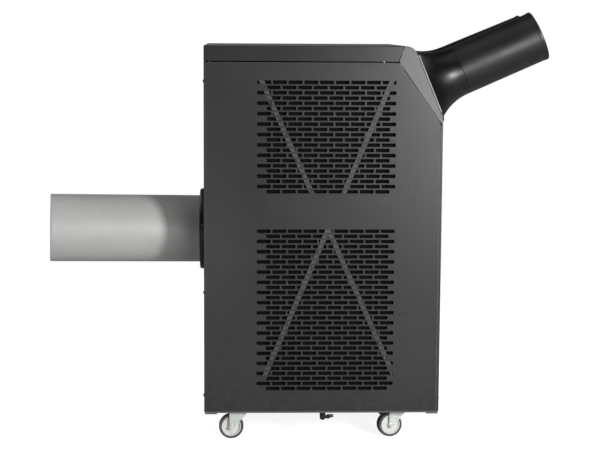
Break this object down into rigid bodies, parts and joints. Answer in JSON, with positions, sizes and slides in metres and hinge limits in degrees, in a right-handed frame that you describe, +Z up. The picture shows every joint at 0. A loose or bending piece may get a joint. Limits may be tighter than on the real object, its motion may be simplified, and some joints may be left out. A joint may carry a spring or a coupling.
{
  "type": "portable air conditioner",
  "caption": "Portable spot-cooler air conditioner: black steel cabinet on swivel casters, upward front air nozzles, rear exhaust duct, side intake grilles.",
  "frame": {"origin": "on the floor, at the middle of the whole object seen from above", "axes": "front with the nozzles faces -Y, rear with the exhaust duct faces +Y, +Z up"},
  "size_m": [0.5, 1.3156, 1.0976],
  "materials": {
    "base_pan": "black powder coat, semi-gloss",
    "side_panel_left": "black powder coat, semi-gloss",
    "side_panel_right": "black powder coat, semi-gloss",
    "rear_panel": "black powder coat, semi-gloss",
    "front_panel": "black powder coat, semi-gloss",
    "top_lid": "black powder coat, semi-gloss",
    "front_hood": "black powder coat, semi-gloss",
    "nozzle_plate": "light grey paint",
    "brace_bar_front": "grey painted flat bar",
    "brace_bar_rear": "grey painted flat bar",
    "mid_deck": "galvanised sheet",
    "drip_tray": "moulded plastic",
    "evaporator_coil": "aluminium fins, dull",
    "condenser_coil": "aluminium fins, dull",
    "air_filter_upper": "black mesh",
    "air_filter_lower": "black mesh",
    "compressor": "black enamel",
    "accumulator": "black enamel",
    "suction_pipe": "copper tube",
    "discharge_pipe": "copper tube",
    "exhaust_fan_shroud": "moulded plastic",
    "exhaust_fan_motor": "painted motor can",
    "exhaust_fan_wheel": "moulded plastic",
    "blower_housing": "galvanised sheet",
    "blower_wheel": "pressed aluminium",
    "blower_motor": "painted motor can",
    "nozzle_plenum": "galvanised sheet",
    "nozzle_base_left": "black moulded plastic, semi-gloss",
    "nozzle_tube_left": "black moulded plastic, semi-gloss",
    "nozzle_base_right": "black moulded plastic, semi-gloss",
    "nozzle_tube_right": "black moulded plastic, semi-gloss",
    "exhaust_collar": "black moulded plastic, semi-gloss",
    "exhaust_duct": "satin aluminium tube",
    "button_1": "grey keys",
    "button_2": "grey keys",
    "button_3": "grey keys",
    "button_4": "grey keys",
    "control_panel_plate": "black moulded plastic, semi-gloss",
    "control_box": "grey enclosure",
    "cord_gland": "black moulded plastic, semi-gloss",
    "drain_valve_body": "black moulded plastic, semi-gloss",
    "drain_lever": "black moulded plastic, semi-gloss",
    "caster_plate_rear_left": "zinc plated",
    "caster_fork_rear_left": "zinc plated",
    "wheel_hub_rear_left": "light grey nylon",
    "tyre_rear_left": "dark grey rubber",
    "caster_plate_rear_right": "zinc plated",
    "caster_fork_rear_right": "zinc plated",
    "wheel_hub_rear_right": "light grey nylon",
    "tyre_rear_right": "dark grey rubber",
    "caster_plate_front_left": "zinc plated",
    "caster_fork_front_left": "zinc plated",
    "wheel_hub_front_left": "light grey nylon",
    "tyre_front_left": "dark grey rubber",
    "brake_pedal_front_left": "black moulded plastic, semi-gloss",
    "caster_plate_front_right": "zinc plated",
    "caster_fork_front_right": "zinc plated",
    "wheel_hub_front_right": "light grey nylon",
    "tyre_front_right": "dark grey rubber",
    "brake_pedal_front_right": "black moulded plastic, semi-gloss"
  },
  "bodies": {
    "cabinet": {"base_pan": "base_pan", "side_panel_left": "side_panel_left", "side_panel_right": "side_panel_right", "rear_panel": "rear_panel", "front_panel": "front_panel", "top_lid": "top_lid", "front_hood": "front_hood", "nozzle_plate": "nozzle_plate", "brace_bar_front": "brace_bar_front", "brace_bar_rear": "brace_bar_rear", "mid_deck": "mid_deck", "drip_tray": "drip_tray", "evaporator_coil": "evaporator_coil", "condenser_coil": "condenser_coil", "air_filter_upper": "air_filter_upper", "air_filter_lower": "air_filter_lower", "compressor": "compressor", "accumulator": "accumulator", "suction_pipe": "suction_pipe", "discharge_pipe": "discharge_pipe", "exhaust_fan_shroud": "exhaust_fan_shroud", "exhaust_fan_motor": "exhaust_fan_motor", "blower_housing": "blower_housing", "blower_motor": "blower_motor", "nozzle_plenum": "nozzle_plenum", "nozzle_base_left": "nozzle_base_left", "nozzle_base_right": "nozzle_base_right", "exhaust_collar": "exhaust_collar", "control_panel_plate": "control_panel_plate", "control_box": "control_box", "cord_gland": "cord_gland", "drain_valve_body": "drain_valve_body", "caster_plate_rear_left": "caster_plate_rear_left", "caster_plate_rear_right": "caster_plate_rear_right", "caster_plate_front_left": "caster_plate_front_left", "caster_plate_front_right": "caster_plate_front_right"},
    "caster_rear_left": {"caster_fork_rear_left": "caster_fork_rear_left"},
    "wheel_rear_left": {"wheel_hub_rear_left": "wheel_hub_rear_left", "tyre_rear_left": "tyre_rear_left"},
    "caster_rear_right": {"caster_fork_rear_right": "caster_fork_rear_right"},
    "wheel_rear_right": {"wheel_hub_rear_right": "wheel_hub_rear_right", "tyre_rear_right": "tyre_rear_right"},
    "caster_front_left": {"caster_fork_front_left": "caster_fork_front_left"},
    "wheel_front_left": {"wheel_hub_front_left": "wheel_hub_front_left", "tyre_front_left": "tyre_front_left"},
    "pedal_front_left": {"brake_pedal_front_left": "brake_pedal_front_left"},
    "caster_front_right": {"caster_fork_front_right": "caster_fork_front_right"},
    "wheel_front_right": {"wheel_hub_front_right": "wheel_hub_front_right", "tyre_front_right": "tyre_front_right"},
    "pedal_front_right": {"brake_pedal_front_right": "brake_pedal_front_right"},
    "nozzle_left": {"nozzle_tube_left": "nozzle_tube_left"},
    "nozzle_right": {"nozzle_tube_right": "nozzle_tube_right"},
    "duct": {"exhaust_duct": "exhaust_duct"},
    "key_1": {"button_1": "button_1"},
    "key_2": {"button_2": "button_2"},
    "key_3": {"button_3": "button_3"},
    "key_4": {"button_4": "button_4"},
    "drain_tap": {"drain_lever": "drain_lever"},
    "fan": {"exhaust_fan_wheel": "exhaust_fan_wheel"},
    "blower": {"blower_wheel": "blower_wheel"}
  },
  "joints": [
    {"name": "swivel_rear_left", "type": "hinge", "parent": "cabinet", "child": "caster_rear_left", "pos_m": [-0.21, 0.15055, 0.07573], "axis": [0, 0, 1], "continuous": true},
    {"name": "roll_rear_left", "type": "hinge", "parent": "caster_rear_left", "child": "wheel_rear_left", "pos_m": [-0.21, 0.16855, 0.03148], "axis": [1, 0, 0], "continuous": true},
    {"name": "swivel_rear_right", "type": "hinge", "parent": "cabinet", "child": "caster_rear_right", "pos_m": [0.21, 0.15055, 0.07573], "axis": [0, 0, 1], "continuous": true},
    {"name": "roll_rear_right", "type": "hinge", "parent": "caster_rear_right", "child": "wheel_rear_right", "pos_m": [0.21, 0.16855, 0.03148], "axis": [1, 0, 0], "continuous": true},
    {"name": "swivel_front_left", "type": "hinge", "parent": "cabinet", "child": "caster_front_left", "pos_m": [-0.193, -0.26045, 0.07573], "axis": [0, 0, 1], "continuous": true},
    {"name": "roll_front_left", "type": "hinge", "parent": "caster_front_left", "child": "wheel_front_left", "pos_m": [-0.19674, -0.24284, 0.03148], "axis": [0.9781, 0.2079, 0], "continuous": true},
    {"name": "brake_front_left", "type": "hinge", "parent": "caster_front_left", "child": "pedal_front_left", "pos_m": [-0.1983, -0.23552, 0.06828], "axis": [-0.9781, -0.2079, 0], "range_deg": [0, 5]},
    {"name": "swivel_front_right", "type": "hinge", "parent": "cabinet", "child": "caster_front_right", "pos_m": [0.193, -0.26045, 0.07573], "axis": [0, 0, 1], "continuous": true},
    {"name": "roll_front_right", "type": "hinge", "parent": "caster_front_right", "child": "wheel_front_right", "pos_m": [0.18926, -0.24284, 0.03148], "axis": [0.9781, 0.2079, 0], "continuous": true},
    {"name": "brake_front_right", "type": "hinge", "parent": "caster_front_right", "child": "pedal_front_right", "pos_m": [0.1877, -0.23552, 0.06828], "axis": [-0.9781, -0.2079, 0], "range_deg": [0, 5]},
    {"name": "nozzle_pull_left", "type": "slide", "parent": "cabinet", "child": "nozzle_left", "axis": [0, -0.9143, 0.4051], "range_m": [0, 0.06]},
    {"name": "nozzle_pull_right", "type": "slide", "parent": "cabinet", "child": "nozzle_right", "axis": [0, -0.9239, 0.3827], "range_m": [0, 0.06]},
    {"name": "duct_pull", "type": "slide", "parent": "cabinet", "child": "duct", "axis": [-0.1218, 0.9923, 0.0201], "range_m": [0, 0.06]},
    {"name": "press_1", "type": "slide", "parent": "cabinet", "child": "key_1", "axis": [0, 1, 0], "range_m": [0, 0.0015], "stiffness_N_per_m": 200},
    {"name": "press_2", "type": "slide", "parent": "cabinet", "child": "key_2", "axis": [0, 1, 0], "range_m": [0, 0.0015], "stiffness_N_per_m": 200},
    {"name": "press_3", "type": "slide", "parent": "cabinet", "child": "key_3", "axis": [0, 1, 0], "range_m": [0, 0.0015], "stiffness_N_per_m": 200},
    {"name": "press_4", "type": "slide", "parent": "cabinet", "child": "key_4", "axis": [0, 1, 0], "range_m": [0, 0.0015], "stiffness_N_per_m": 200},
    {"name": "drain_turn", "type": "hinge", "parent": "cabinet", "child": "drain_tap", "pos_m": [-0.232, -0.06745, 0.05973], "axis": [1, 0, 0], "range_deg": [0, 90]},
    {"name": "fan_spin", "type": "hinge", "parent": "cabinet", "child": "fan", "pos_m": [0, 0.16635, 0.51973], "axis": [0, 1, 0], "continuous": true},
    {"name": "blower_spin", "type": "hinge", "parent": "cabinet", "child": "blower", "pos_m": [0, -0.00365, 0.78973], "axis": [1, 0, 0], "continuous": true}
  ]
}
